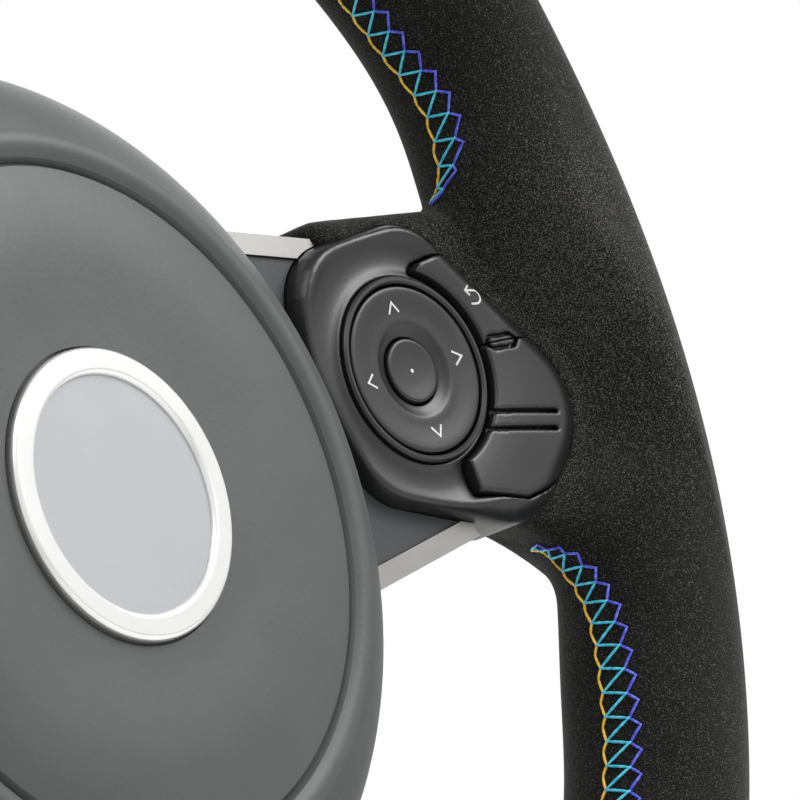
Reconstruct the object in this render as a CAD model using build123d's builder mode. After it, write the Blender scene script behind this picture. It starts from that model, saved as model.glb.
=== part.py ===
"""Three-spoke sports steering wheel: suede-wrapped rim, round horn pad, two thumb-switch pods.

Millimetres. X to the driver's right, Y forward away from the driver, Z up.
The origin is the centre of the column bore at the rear face of the hub.
Depths in the dimensions below are measured from the rim's mid-plane, towards the column.
"""
import os
from math import cos, radians, sin

from build123d import *

os.makedirs("parts", exist_ok=True)

# Rim and wrap
RIM_DIAMETER = 362.0
GRIP = 34.4
WRAP = 1.3
DISH = 72.0
RING_ROD = 6.0
RIM_RADIUS = RIM_DIAMETER / 2 - GRIP / 2

# Hub, column bore and cast arms
BORE_RADIUS = 8.4
BOSS_RADIUS = 18.0
BOSS_LENGTH = 30.0
HUB_PLATE = 8.0
HUB_BACK = DISH - 18.0
HUB_FRONT = HUB_BACK - HUB_PLATE
COVER_BACK = HUB_BACK + 12.0
SCREW_CIRCLE = 38.0
ARM_WIDTH = 22.0
ARM_CENTRE = 11.0

# Horn pad and what it carries
PAD_DROP = -17.66
PAD_SKIN = 3.0
PAD_BACK = 13.5
PAD_RADIUS = 81.3
CAN_RADIUS = 50.0
CAN_WALL = 1.5
CAN_FRONT = -5.0
CAN_BACK = 30.0
PIN_RADIUS = 3.0
PIN_CIRCLE = CAN_RADIUS + 2 * PIN_RADIUS
FLANGE_RADIUS = PIN_CIRCLE + 2 * PIN_RADIUS
FLANGE_BACK = 24.0
FLANGE = 2.0
HUB_RADIUS = FLANGE_RADIUS + 4.0
HORN_TRAVEL = 2.0
SPRING_RADIUS = 4.8
SPRING_WIRE = 0.9
SPRING_END = 1.05
BADGE_RADIUS = 24.4
BADGE_BAND = 4.6
BADGE_FLOOR = -9.6

# Thumb-switch pod: distance in from the rim, tilt towards the hub, outline seen square on
POD_INSET = 53.6
POD_X = RIM_RADIUS - POD_INSET
POD_DEPTH = 4.83
POD_Z = -4.06
POD_TILT = 7.45
POD_OUTLINE = [(-25, 4), (-22.5, 26.2), (12, 29.6), (47.2, -13.5), (20.2, -35.6), (-18.5, -21.8)]
POD_CORNERS = [40, 14, 13, 16, 18, 13]
POD_FACE = 1.5
POD_BACK = -15.0
POD_WALL = 2.0
POD_GAP = 0.25
POD_ROOF = -4.6
POD_SHOULDER = 4.5
NAV_RADIUS = 16.4
NAV_HOLE = 17.0
LIP_RADIUS = 18.3
LIP_TOP = 0.4
DISH_RADIUS = 30.0
DISH_FLOOR = -1.9
ENTER_RADIUS = 5.8
ENTER_HOLE = 7.0
ENTER_LENGTH = 6.2
PRESS = 0.7
GIMBAL = -6.0
SEGMENT_INNER = 19.9
SEGMENT_OUTLINE = [(0, 0), (7.2, 17.6), (9.4, 19.8), (14, 20.5), (60, 21), (60, -19.3), (24, -28.2), (17.5, -29),
                   (5, -25.6), (5.4, -16)]
SEGMENT_GAP = 0.45
BUTTON_EDGE = 0.5
BLANK_EDGE = 0.4
BACK_EDGE = 1.6
SLOT_MARK = [(20.2, 1.6), (21.4, 2.9), (26.9, 2.7), (28.6, 1.4), (27.4, 0.2), (21.9, 0.4)]
GROOVE_WIDTH = 0.8

# Spoke trim
TRIM_FACE = -4.2
TRIM_PLATE = 3.5
TRIM_DEEP = 14.0
TRIM_BAND = 4.1
TRIM_WALL = 3.0
TRIM_START = FLANGE_RADIUS + 4.7
INLAY = 1.6
INLAY_SINK = 0.6
LOWER_Z = 42.9 - RIM_RADIUS
LOWER_DEPTH = 5.7
LOWER_TILT = 13.8

COLUMN = Axis((0, 0, 0), (0, 1, 0))
PAD_AXIS = Axis((0, 0, PAD_DROP), (0, 1, 0))


def front(depth, x=0.0, z=0.0):
    """Plane square to the column, facing the driver."""
    return Plane(origin=(x, depth - DISH, z), x_dir=(1, 0, 0), z_dir=(0, -1, 0))


def lathe(z=0.0):
    """Plane for turned profiles: radius across, depth up."""
    return Plane(origin=(0, -DISH, z), x_dir=(1, 0, 0), z_dir=(0, 0, 1))


def pod(height):
    """Plane of the right-hand pod, height above its face."""
    turn = radians(POD_TILT)
    face = Plane(
        origin=(POD_X, POD_DEPTH - DISH, POD_Z),
        x_dir=(cos(turn), -sin(turn), 0),
        z_dir=(-sin(turn), -cos(turn), 0),
    )
    return face.offset(height)


def lower(height):
    """Plane of the lower spoke's trim, height above its face."""
    turn = radians(LOWER_TILT)
    face = Plane(origin=(0, LOWER_DEPTH - DISH, LOWER_Z), x_dir=(1, 0, 0), z_dir=(0, -cos(turn), sin(turn)))
    return face.offset(height)


def round_outline(points, corners, grow=0.0):
    """Polygon with each corner rounded to its own radius, grown or shrunk."""
    with BuildSketch(Plane.XY) as shape:
        Polygon(*points, align=None)
        for point, radius in zip(points, corners):
            spot = Vector(*point)
            fillet(shape.vertices().sort_by_distance(spot)[0], radius=radius)
        if grow:
            offset(amount=grow)
    return shape.sketch


POD_SHAPE = round_outline(POD_OUTLINE, POD_CORNERS)
POD_CAVITY = round_outline(POD_OUTLINE, POD_CORNERS, -POD_WALL)
POD_LID = round_outline(POD_OUTLINE, POD_CORNERS, -POD_WALL - 0.2)
POD_BOARD = round_outline(POD_OUTLINE, POD_CORNERS, -POD_WALL - 1.2)
POD_MAT = round_outline(POD_OUTLINE, POD_CORNERS, -POD_WALL - 2.6)


def save(part, name):
    """Label a finished piece and write its file."""
    part.label = name
    export_step(part, f"parts/{name}.step")


def save_pair(part, name):
    """Write a right-hand piece and its left-hand mirror."""
    with BuildPart() as other:
        mirror(part, about=Plane.YZ)
    save(part, f"{name}_right")
    save(other.part, f"{name}_left")


# Rim body: round ring with a flared root at each side spoke
# Each section: inwards from the rim's centre line, near, far, low, high, corner
ROOT_TILT = 17
ROOT = [
    (55.8, 6.3, 38, -38, 28, 6),
    (37.8, 3.4, 35, -38.5, 28, 7),
    (22.8, 1.2, 29.6, -42, 30, 9),
    (11.8, -2, 22, -49.5, 39, 10),
    (0.8, -12, 13, -60, 51, 11),
]


def rim_half(inset):
    """Right half of the rim with its root and thumb valley, drawn in by the wrap for the foam."""
    lean = radians(ROOT_TILT)
    with BuildPart() as body:
        with BuildSketch(Plane(origin=(0, -DISH, 0), x_dir=(0, 0, 1), z_dir=(-1, 0, 0))):
            with Locations((RIM_RADIUS, 0)):
                Circle(GRIP / 2 - inset)
        revolve(axis=COLUMN, revolution_arc=180)
        for inwards, near, far, low, high, corner in ROOT:
            inner_end = inwards == ROOT[0][0]
            x = RIM_RADIUS - inwards
            start = x + inset if inner_end else x
            facing = (cos(lean), 0, sin(lean)) if inner_end else (1, 0, 0)
            middle = (start, (near + far) / 2 - DISH, (low + high) / 2)
            with BuildSketch(Plane(origin=middle, x_dir=(0, 1, 0), z_dir=facing)):
                RectangleRounded(far - near - 2 * inset, high - low - 2 * inset, corner - inset)
        loft()
        with BuildSketch(pod(0.4 - inset)):
            add(round_outline(POD_OUTLINE, POD_CORNERS, 2.5))
        extrude(amount=26, taper=-38, mode=Mode.SUBTRACT)
    return body.part


with BuildPart() as pocket:
    with BuildSketch(pod(POD_BACK - 0.6)):
        add(round_outline(POD_OUTLINE, POD_CORNERS, POD_GAP))
    extrude(amount=40)

RIM_OUTER = rim_half(0)
RIM_INNER = rim_half(WRAP)



def arm_sketch(root, bend, knee, knee_depth):
    """Side view of a cast arm: along the hub plate, up to a knee, under the grip and into the rim rod."""
    with BuildSketch(Plane.XY) as shape:
        Polygon(
            (root, HUB_FRONT), (bend, HUB_FRONT), (knee, knee_depth), (RIM_RADIUS - 43.8, 23.6),
            (RIM_RADIUS - 18.8, 18), (RIM_RADIUS - 3.8, -2), (RIM_RADIUS + 1.2, 5), (RIM_RADIUS - 14.8, 25),
            (RIM_RADIUS - 39.8, 31), (knee + 4, knee_depth + HUB_PLATE), (bend + 6, HUB_BACK), (root, HUB_BACK),
            align=None,
        )
    return shape.sketch


# Cast frame: rim rod, hub plate, two side arms and a lower arm
with BuildPart() as armature:
    with BuildSketch(lathe()):
        with Locations((RIM_RADIUS, 2)):
            Circle(RING_ROD)
    revolve(axis=COLUMN)
    with BuildSketch(front(HUB_FRONT, 0, PAD_DROP)):
        Circle(HUB_RADIUS)
    extrude(amount=-HUB_PLATE)
    with BuildSketch(Plane(origin=(0, -DISH, ARM_CENTRE), x_dir=(1, 0, 0), z_dir=(0, 0, 1))):
        add(arm_sketch(30, 58, 86, 27.5))
        mirror(about=Plane.YZ)
    extrude(amount=ARM_WIDTH / 2, both=True)
    with BuildSketch(Plane(origin=(0, -DISH, 0), x_dir=(0, 0, -1), z_dir=(1, 0, 0))):
        add(arm_sketch(60, 76, 102, 30))
    extrude(amount=ARM_WIDTH / 2, both=True)
    with BuildSketch(front(HUB_FRONT, 0, PAD_DROP)):
        with PolarLocations(PIN_CIRCLE, 3, start_angle=30):
            Circle(5)
    extrude(amount=HUB_FRONT - FLANGE_BACK - HORN_TRAVEL - 0.2)
    with BuildSketch(front(HUB_BACK, 0, PAD_DROP)):
        with PolarLocations(PIN_CIRCLE, 3, start_angle=90):
            Circle(PIN_RADIUS + 0.6)
    extrude(amount=HUB_PLATE, mode=Mode.SUBTRACT)
    with BuildSketch(front(DISH)):
        Circle(BOSS_RADIUS)
    extrude(amount=BOSS_LENGTH + 2, mode=Mode.SUBTRACT)
    with BuildSketch(front(HUB_BACK)):
        with PolarLocations(SCREW_CIRCLE, 3, start_angle=30):
            Circle(2.0)
    extrude(amount=6, mode=Mode.SUBTRACT)
save(armature.part, "armature")

# Steel boss pressed into the hub plate, with the column bore
with BuildPart() as hub_boss:
    with BuildSketch(front(DISH)):
        Circle(BOSS_RADIUS)
        Circle(BORE_RADIUS, mode=Mode.SUBTRACT)
    extrude(amount=BOSS_LENGTH)
    chamfer(hub_boss.edges().filter_by(GeomType.CIRCLE).group_by(SortBy.RADIUS)[-1], length=1.2)
save(hub_boss.part, "hub_boss")

# Foam grip moulded round the rod and arms, meeting at top and bottom, stepped back behind the pod
with BuildPart() as rim_foam:
    add(RIM_INNER)
    add(armature.part, mode=Mode.SUBTRACT)
    with BuildSketch(pod(POD_BACK - 0.6)):
        with Locations((max(x for x, z in POD_OUTLINE) + 0.6, 0)):
            Rectangle(90, 90, align=(Align.MAX, Align.CENTER))
    extrude(amount=40, mode=Mode.SUBTRACT)
save_pair(rim_foam.part, "rim_foam")

# Suede wrap over the foam, sewn from a right and a left piece
with BuildPart() as rim_cover:
    add(RIM_OUTER)
    add(RIM_INNER, mode=Mode.SUBTRACT)
    add(armature.part, mode=Mode.SUBTRACT)
    add(pocket.part, mode=Mode.SUBTRACT)
save_pair(rim_cover.part, "rim_cover")

# Rear shroud round the hub boss
with BuildPart() as rear_cover:
    with BuildSketch(lathe()):
        with BuildLine():
            Polyline((24, COVER_BACK), (46, COVER_BACK), (58, HUB_BACK + 3), (58, HUB_BACK), (55.5, HUB_BACK),
                     (55.5, HUB_BACK + 2), (45, COVER_BACK - 2.5), (24, COVER_BACK - 2.5), close=True)
        make_face()
    revolve(axis=COLUMN)
    with BuildSketch(front(HUB_BACK)):
        with PolarLocations(SCREW_CIRCLE, 3, start_angle=30):
            Circle(5)
    extrude(amount=HUB_BACK - COVER_BACK + 2.5)
    with BuildSketch(front(HUB_BACK)):
        with PolarLocations(SCREW_CIRCLE, 3, start_angle=30):
            Circle(2.2)
    extrude(amount=HUB_BACK - COVER_BACK - 8, mode=Mode.SUBTRACT)
save(rear_cover.part, "rear_cover")

for number in range(3):
    turn = radians(30 + 120 * number)
    x = SCREW_CIRCLE * cos(turn)
    z = SCREW_CIRCLE * sin(turn)
    with BuildPart() as rear_screw:
        with BuildSketch(front(COVER_BACK, x, z)):
            Circle(3.6)
        extrude(amount=-2.4)
        with BuildSketch(front(COVER_BACK, x, z)):
            Circle(1.9)
        extrude(amount=COVER_BACK - HUB_BACK + 4)
        with BuildSketch(front(COVER_BACK + 2.4, x, z)):
            RegularPolygon(1.7, 6)
        extrude(amount=1.5, mode=Mode.SUBTRACT)
    save(rear_screw.part, f"rear_screw_{number + 1}")

# Horn pad: dished face, crease, bead and sloping flank, with a clip ring inside
with BuildPart() as horn_pad:
    with BuildSketch(lathe(PAD_DROP)):
        with BuildLine():
            Line((0, BADGE_FLOOR), (BADGE_RADIUS + 0.5, BADGE_FLOOR))
            Line((BADGE_RADIUS + 0.5, BADGE_FLOOR), (BADGE_RADIUS + 0.5, -10.7))
            Spline((BADGE_RADIUS + 0.5, -10.7), (32, -10.9), (42, -11.3), (50, -10.6), (56.2, -9.0))
            Line((56.2, -9.0), (57, -7.8))
            Line((57, -7.8), (57.8, -9.0))
            Spline((57.8, -9.0), (60.2, -9.9), (62.6, -9.0))
            Spline((62.6, -9.0), (70, -4.4), (75.5, 0.6), (79.5, 6.5), (PAD_RADIUS, PAD_BACK))
            Line((PAD_RADIUS, PAD_BACK), (PAD_RADIUS - PAD_SKIN, PAD_BACK))
            Spline((PAD_RADIUS - PAD_SKIN, PAD_BACK), (76.4, 7.4), (72.6, 2.2), (66.6, -2.4), (60, -5.6))
            Line((60, -5.6), (54, -6.4))
            Line((54, -6.4), (0, -6.4))
            Line((0, -6.4), (0, BADGE_FLOOR))
        make_face()
    revolve(axis=PAD_AXIS)
    with BuildSketch(lathe(PAD_DROP)):
        with Locations((CAN_RADIUS, -7)):
            Rectangle(3, 17, align=(Align.MIN, Align.MIN))
    revolve(axis=PAD_AXIS)
save(horn_pad.part, "horn_pad")

with BuildPart() as emblem_base:
    with BuildSketch(front(BADGE_FLOOR, 0, PAD_DROP)):
        Circle(BADGE_RADIUS - BADGE_BAND)
    extrude(amount=1.9)
save(emblem_base.part, "emblem_base")

with BuildPart() as emblem_ring:
    with BuildSketch(front(BADGE_FLOOR, 0, PAD_DROP)):
        Circle(BADGE_RADIUS)
        Circle(BADGE_RADIUS - BADGE_BAND, mode=Mode.SUBTRACT)
    extrude(amount=2.8)
    fillet(emblem_ring.faces().sort_by(Axis.Y)[0].edges(), radius=1.0)
save(emblem_ring.part, "emblem_ring")

# Airbag can with its flange, inflator and folded cushion
with BuildPart() as airbag_housing:
    with BuildSketch(lathe(PAD_DROP)):
        with BuildLine():
            Polyline(
                (CAN_RADIUS, CAN_FRONT), (CAN_RADIUS, FLANGE_BACK - FLANGE), (FLANGE_RADIUS, FLANGE_BACK - FLANGE),
                (FLANGE_RADIUS, FLANGE_BACK), (CAN_RADIUS, FLANGE_BACK), (CAN_RADIUS, CAN_BACK), (24.5, CAN_BACK),
                (24.5, CAN_BACK - CAN_WALL), (CAN_RADIUS - CAN_WALL, CAN_BACK - CAN_WALL),
                (CAN_RADIUS - CAN_WALL, CAN_FRONT), close=True,
            )
        make_face()
    revolve(axis=PAD_AXIS)
    with BuildSketch(front(FLANGE_BACK, 0, PAD_DROP)):
        with PolarLocations(PIN_CIRCLE, 3, start_angle=90):
            Circle(PIN_RADIUS - 0.5)
    extrude(amount=FLANGE, mode=Mode.SUBTRACT)
save(airbag_housing.part, "airbag_housing")

with BuildPart() as inflator:
    with BuildSketch(lathe(PAD_DROP)):
        with BuildLine():
            Polyline((0, 6), (20, 6), (23.5, 9), (23.5, 26.5), (33, 26.5), (33, 28.5), (23.5, 28.5), (23.5, 33),
                     (20, 36), (0, 36), close=True)
        make_face()
    revolve(axis=PAD_AXIS)
save(inflator.part, "inflator")

with BuildPart() as airbag_cushion:
    with BuildSketch(front(5.8, 0, PAD_DROP)):
        Circle(CAN_RADIUS - CAN_WALL - 1)
    extrude(amount=12)
    fillet(airbag_cushion.edges().filter_by(GeomType.CIRCLE), radius=4)
save(airbag_cushion.part, "airbag_cushion")

# Guide pins and horn springs on one circle
for number in range(3):
    turn = radians(90 + 120 * number)
    x = PIN_CIRCLE * cos(turn)
    z = PAD_DROP + PIN_CIRCLE * sin(turn)
    with BuildPart() as guide_pin:
        with BuildSketch(front(FLANGE_BACK - FLANGE, x, z)):
            Circle(PIN_RADIUS - 0.5)
        extrude(amount=-FLANGE)
        with BuildSketch(front(FLANGE_BACK - FLANGE, x, z)):
            Circle(PIN_RADIUS + 1)
        extrude(amount=1.4)
        with BuildSketch(front(FLANGE_BACK, x, z)):
            Circle(PIN_RADIUS)
        extrude(amount=FLANGE_BACK - HUB_BACK - 0.4)
        with BuildSketch(front(HUB_BACK + 0.4, x, z)):
            Circle(PIN_RADIUS + 2)
        extrude(amount=-2.2)
    save(guide_pin.part, f"guide_pin_{number + 1}")
    with BuildPart() as horn_spring:
        with BuildLine():
            coil = Helix(
                pitch=5.0, height=HUB_FRONT - FLANGE_BACK - 2 * SPRING_END, radius=SPRING_RADIUS,
                center=(x, FLANGE_BACK + SPRING_END - DISH, z), direction=(0, 1, 0),
            )
        with BuildSketch(Plane(origin=coil @ 0, z_dir=coil % 0)):
            Circle(SPRING_WIRE)
        sweep()
    save(horn_spring.part, f"horn_spring_{number + 1}")

# Side spoke trim: satin frame with a sunk inlay, both open round the pod
SIDE_TRIM = [(TRIM_START - POD_X, 35.4), (-11, 28.8), (12, -32.4), (TRIM_START - POD_X, -40.9)]


def trim_sketch(points, shrink):
    """Trim outline drawn in by a margin."""
    with BuildSketch(Plane.XY) as shape:
        Polygon(*points, align=None)
        if shrink:
            offset(amount=-shrink, kind=Kind.INTERSECTION)
    return shape.sketch


def trim_frame(place, points):
    """Frame plate with side walls running back and a sunk face for the inlay."""
    with BuildPart() as frame:
        with BuildSketch(place(TRIM_FACE)):
            add(trim_sketch(points, 0))
        extrude(amount=-TRIM_DEEP)
        with BuildSketch(place(TRIM_FACE - TRIM_PLATE)):
            add(trim_sketch(points, TRIM_WALL))
        extrude(amount=-TRIM_DEEP, mode=Mode.SUBTRACT)
        with BuildSketch(place(TRIM_FACE)):
            add(trim_sketch(points, TRIM_BAND))
        extrude(amount=-INLAY, mode=Mode.SUBTRACT)
    return frame.part


def trim_inlay(place, points):
    """Panel lying in the frame's sunk face."""
    with BuildPart() as panel:
        with BuildSketch(place(TRIM_FACE - INLAY)):
            add(trim_sketch(points, TRIM_BAND + 0.15))
        extrude(amount=INLAY - INLAY_SINK)
    return panel.part


SIDE_FRAME = trim_frame(pod, SIDE_TRIM)
SIDE_INLAY = trim_inlay(pod, SIDE_TRIM)

with BuildPart() as rim_room:
    with BuildSketch(lathe()):
        with Locations((RIM_RADIUS, 0)):
            Circle(GRIP / 2 + 0.3)
    revolve(axis=COLUMN)

with BuildPart() as pad_room:
    with BuildSketch(front(PAD_BACK + HORN_TRAVEL + 1.5, 0, PAD_DROP)):
        Circle(PAD_RADIUS + 1)
    extrude(amount=60)

with BuildPart() as spoke_bezel:
    add(SIDE_FRAME)
    add(pad_room.part, mode=Mode.SUBTRACT)
    add(pocket.part, mode=Mode.SUBTRACT)
    add(RIM_OUTER, mode=Mode.SUBTRACT)
save_pair(spoke_bezel.part, "spoke_bezel")

with BuildPart() as spoke_panel:
    add(SIDE_INLAY)
    add(pad_room.part, mode=Mode.SUBTRACT)
    add(pocket.part, mode=Mode.SUBTRACT)
    add(RIM_OUTER, mode=Mode.SUBTRACT)
save_pair(spoke_panel.part, "spoke_panel")

# Lower spoke trim, plain, running into the rim
LOWER_TRIM = [(-25, 30), (25, 30), (20.5, -35), (-20.5, -35)]
LOWER_FRAME = trim_frame(lower, LOWER_TRIM)
LOWER_INLAY = trim_inlay(lower, LOWER_TRIM)

with BuildPart() as spoke_bezel_lower:
    add(LOWER_FRAME)
    add(rim_room.part, mode=Mode.SUBTRACT)
save(spoke_bezel_lower.part, "spoke_bezel_lower")

with BuildPart() as spoke_panel_lower:
    add(LOWER_INLAY)
    add(rim_room.part, mode=Mode.SUBTRACT)
save(spoke_panel_lower.part, "spoke_panel_lower")


# Thumb-switch pod
def segment_sketch(grow):
    """Button field to the right of the four-way pad, out to the pod's edge, or its opening when grown."""
    with BuildSketch(Plane.XY) as shape:
        Polygon(*SEGMENT_OUTLINE, align=None)
        Circle(SEGMENT_INNER, mode=Mode.SUBTRACT)
        if grow:
            offset(amount=grow, kind=Kind.INTERSECTION)
        else:
            add(POD_SHAPE, mode=Mode.INTERSECT)
    return shape.sketch


def segment_part(top, bottom):
    """Part of the button field between two lines across it."""
    with BuildSketch(Plane.XY) as shape:
        add(segment_sketch(0))
        with Locations(Location((25, 0), -2)):
            with Locations((0, bottom)):
                Rectangle(120, top - bottom, align=(Align.CENTER, Align.MIN), mode=Mode.INTERSECT)
    return shape.sketch


def slot_groove():
    """Six-sided line round the slot mark."""
    with BuildSketch(Plane.XY) as shape:
        Polygon(*SLOT_MARK, align=None)
        offset(amount=0.3, kind=Kind.INTERSECTION)
        with BuildSketch(Plane.XY, mode=Mode.SUBTRACT):
            Polygon(*SLOT_MARK, align=None)
            offset(amount=-0.3, kind=Kind.INTERSECTION)
    return shape.sketch


POD_AXIS = Axis(pod(0).origin, pod(0).z_dir)
POD_LATHE = Plane(origin=pod(0).origin, x_dir=pod(0).x_dir, z_dir=-pod(0).y_dir)
SLOT_GROOVE = slot_groove()

with BuildPart() as switch_housing:
    with BuildSketch(pod(POD_BACK)):
        add(POD_SHAPE)
    extrude(amount=POD_FACE - POD_BACK)
    fillet(switch_housing.faces().sort_by(POD_AXIS)[-1].edges(), radius=POD_SHOULDER)
    with BuildSketch(POD_LATHE):
        with BuildLine():
            Line((0, 8), (DISH_RADIUS, 8))
            Line((DISH_RADIUS, 8), (DISH_RADIUS, POD_FACE))
            ThreePointArc((DISH_RADIUS, POD_FACE), (23.6, DISH_FLOOR + 0.7), (LIP_RADIUS, DISH_FLOOR))
            Line((LIP_RADIUS, DISH_FLOOR), (0, DISH_FLOOR))
            Line((0, DISH_FLOOR), (0, 8))
        make_face()
    revolve(axis=POD_AXIS, mode=Mode.SUBTRACT)
    with BuildSketch(pod(POD_ROOF)):
        add(segment_sketch(SEGMENT_GAP))
    extrude(amount=20, mode=Mode.SUBTRACT)
    with BuildSketch(pod(POD_BACK)):
        add(POD_CAVITY)
    extrude(amount=POD_ROOF - 1.6 - POD_BACK, mode=Mode.SUBTRACT)
    with BuildSketch(pod(POD_BACK)):
        Circle(LIP_RADIUS + 0.15)
    extrude(amount=40, mode=Mode.SUBTRACT)
save_pair(switch_housing.part, "switch_housing")

# Lip ring round the four-way pad, clipped under the housing's roof
with BuildPart() as switch_bezel:
    with BuildSketch(POD_LATHE):
        with BuildLine():
            Polyline((NAV_HOLE, LIP_TOP - 0.4), (NAV_HOLE + 0.4, LIP_TOP), (LIP_RADIUS - 0.4, LIP_TOP),
                     (LIP_RADIUS, LIP_TOP - 0.4), (LIP_RADIUS, POD_ROOF - 1.75), (LIP_RADIUS + 1.6, POD_ROOF - 1.75),
                     (LIP_RADIUS + 1.6, POD_ROOF - 3.0), (NAV_HOLE, POD_ROOF - 4.4), close=True)
        make_face()
    revolve(axis=POD_AXIS)
save_pair(switch_bezel.part, "switch_bezel")

with BuildPart() as nav_pad:
    with BuildSketch(POD_LATHE):
        with BuildLine():
            Polyline((ENTER_HOLE + 0.7, -1.0), (ENTER_HOLE, -2.2), (ENTER_HOLE + 0.6, -6.8), (8.8, -6.8), (8.8, -3),
                     (NAV_RADIUS, -3), (NAV_RADIUS, -0.5), (NAV_RADIUS - 0.6, 0))
            ThreePointArc((NAV_RADIUS - 0.6, 0), (12, -0.8), (ENTER_HOLE + 0.7, -1.0))
        make_face()
    revolve(axis=POD_AXIS)
save_pair(nav_pad.part, "nav_pad")

# Gimbal ring with two pins to the lip ring and two to the four-way pad
with BuildPart() as nav_gimbal:
    with BuildSketch(pod(GIMBAL - 1.1)):
        Circle(12.6)
        Circle(9.5, mode=Mode.SUBTRACT)
    extrude(amount=2.2)
    for way in (1, -1):
        upright = Plane(origin=pod(GIMBAL).origin, x_dir=pod(0).x_dir, z_dir=pod(0).y_dir * way)
        with BuildSketch(upright.offset(12)):
            Circle(0.8)
        extrude(amount=NAV_HOLE - 12.3)
        level = Plane(origin=pod(GIMBAL).origin, x_dir=pod(0).y_dir, z_dir=pod(0).x_dir * way)
        with BuildSketch(level.offset(9.1)):
            Circle(0.8)
        extrude(amount=1)
save_pair(nav_gimbal.part, "nav_gimbal")

with BuildPart() as enter_button:
    with BuildSketch(pod(-ENTER_LENGTH)):
        Circle(ENTER_RADIUS)
    extrude(amount=ENTER_LENGTH)
    fillet(enter_button.edges().filter_by(GeomType.CIRCLE), radius=0.7)
save_pair(enter_button.part, "enter_button")

with BuildPart() as back_button:
    with BuildSketch(pod(POD_ROOF + PRESS + 0.2)):
        add(segment_part(60, BACK_EDGE + 0.15))
    extrude(amount=POD_FACE - POD_ROOF - PRESS - 0.2)
    fillet(back_button.faces().sort_by(POD_AXIS)[-1].edges(), radius=BUTTON_EDGE)
    with BuildSketch(pod(POD_FACE)):
        add(SLOT_GROOVE)
    extrude(amount=-0.9, mode=Mode.SUBTRACT)
save_pair(back_button.part, "back_button")

with BuildPart() as switch_blank:
    with BuildSketch(pod(POD_ROOF)):
        add(segment_part(BACK_EDGE - 0.15, -80))
    extrude(amount=POD_FACE - POD_ROOF)
    fillet(switch_blank.faces().sort_by(POD_AXIS)[-1].edges(), radius=BLANK_EDGE)
    with BuildSketch(pod(POD_FACE)):
        with Locations(Location((25, 0), -9.6)):
            with Locations((-2.6, -12.7), (-3.6, -16.2)):
                Rectangle(26.5, GROOVE_WIDTH)
        add(SLOT_GROOVE)
    extrude(amount=-1.1, mode=Mode.SUBTRACT)
save_pair(switch_blank.part, "switch_blank")

with BuildPart() as switch_base:
    with BuildSketch(pod(POD_BACK)):
        add(POD_LID)
    extrude(amount=2)
save_pair(switch_base.part, "switch_base")

with BuildPart() as switch_board:
    with BuildSketch(pod(POD_BACK + 2)):
        add(POD_BOARD)
    extrude(amount=1.4)
save_pair(switch_board.part, "switch_board")

with BuildPart() as dome_mat:
    with BuildSketch(pod(POD_BACK + 3.4)):
        add(POD_MAT)
    extrude(amount=1.0)
    with BuildSketch(pod(POD_BACK + 4.4)):
        with PolarLocations(11, 4):
            Circle(1.6)
        with Locations((21, 9)):
            Circle(2.4)
    extrude(amount=1.2, taper=15)
    with BuildSketch(pod(POD_BACK + 4.4)):
        Circle(2.6)
    extrude(amount=-POD_BACK - 4.4 - ENTER_LENGTH - PRESS - 0.2, taper=15)
save_pair(dome_mat.part, "dome_mat")
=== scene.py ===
"""Looks of a suede-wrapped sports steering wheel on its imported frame.

X to the driver's right, Y forward along the column, Z up, in metres. Values whose names end in _MM, outlines,
profiles and sections are in millimetres; depths are measured from the rim's mid-plane.
"""
import math

import bmesh
import bpy
import numpy as np
from mathutils import Matrix, Vector
from mathutils.bvhtree import BVHTree


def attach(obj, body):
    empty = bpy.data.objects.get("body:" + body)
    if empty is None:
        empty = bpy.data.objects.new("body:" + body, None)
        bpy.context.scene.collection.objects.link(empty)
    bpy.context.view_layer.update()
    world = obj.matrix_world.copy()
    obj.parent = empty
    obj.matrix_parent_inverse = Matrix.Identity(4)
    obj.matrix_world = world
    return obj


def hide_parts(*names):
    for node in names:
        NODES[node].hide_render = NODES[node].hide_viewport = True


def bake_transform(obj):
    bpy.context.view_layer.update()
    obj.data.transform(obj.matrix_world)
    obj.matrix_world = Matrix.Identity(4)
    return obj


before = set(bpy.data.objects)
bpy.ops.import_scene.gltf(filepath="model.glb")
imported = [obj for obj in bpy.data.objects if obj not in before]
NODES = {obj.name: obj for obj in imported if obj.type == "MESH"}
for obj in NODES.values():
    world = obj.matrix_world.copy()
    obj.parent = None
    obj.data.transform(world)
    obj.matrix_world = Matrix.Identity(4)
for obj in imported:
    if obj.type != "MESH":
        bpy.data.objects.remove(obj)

bl_info = {
    "name": "Suede steering wheel",
    "version": (1, 0, 0),
    "blender": (4, 5, 0),
    "location": "View3D > Sidebar > Wheel",
    "description": "Builds the visible surfaces of a sports steering wheel",
    "category": "Object",
}

MM = 0.001

# Rim, then the spoke root's sections: place along the spoke, front, back, low and high
DISH_MM = 72.0
RING_MM = 163.8
GRIP_MM = 17.2
HALF_GAP_MM = 0.02
HALF_ROUND_MM = 1.2
ROOT_LEAN = math.radians(18.5)
ROOT_END_MM = 108.3
ROOT_SECTIONS = [
    (108, 6.3, 38, -34.5, 28.6),
    (126, 3.2, 35, -35.8, 27.4),
    (141, 1.0, 29.6, -42, 26.6),
    (152, -2, 26.4, -50, 30),
    (163, -12, 17, -60, 42),
]
ROOT_RISE = 0.3
ROOT_CORNER_MM = 7.0
ROOT_END_ROUND_MM = 6.0
ROOT_DEPTH_MM = 6.0

# Swells of the grip, then its flares towards the hub: angle round the wheel, height, width in degrees
SWELLS = [(46, 4.4, 20), (-50, 0.6, 15)]
FLARES = [(8, 9.0, 8.5), (-27, 2.2, 8)]

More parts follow.
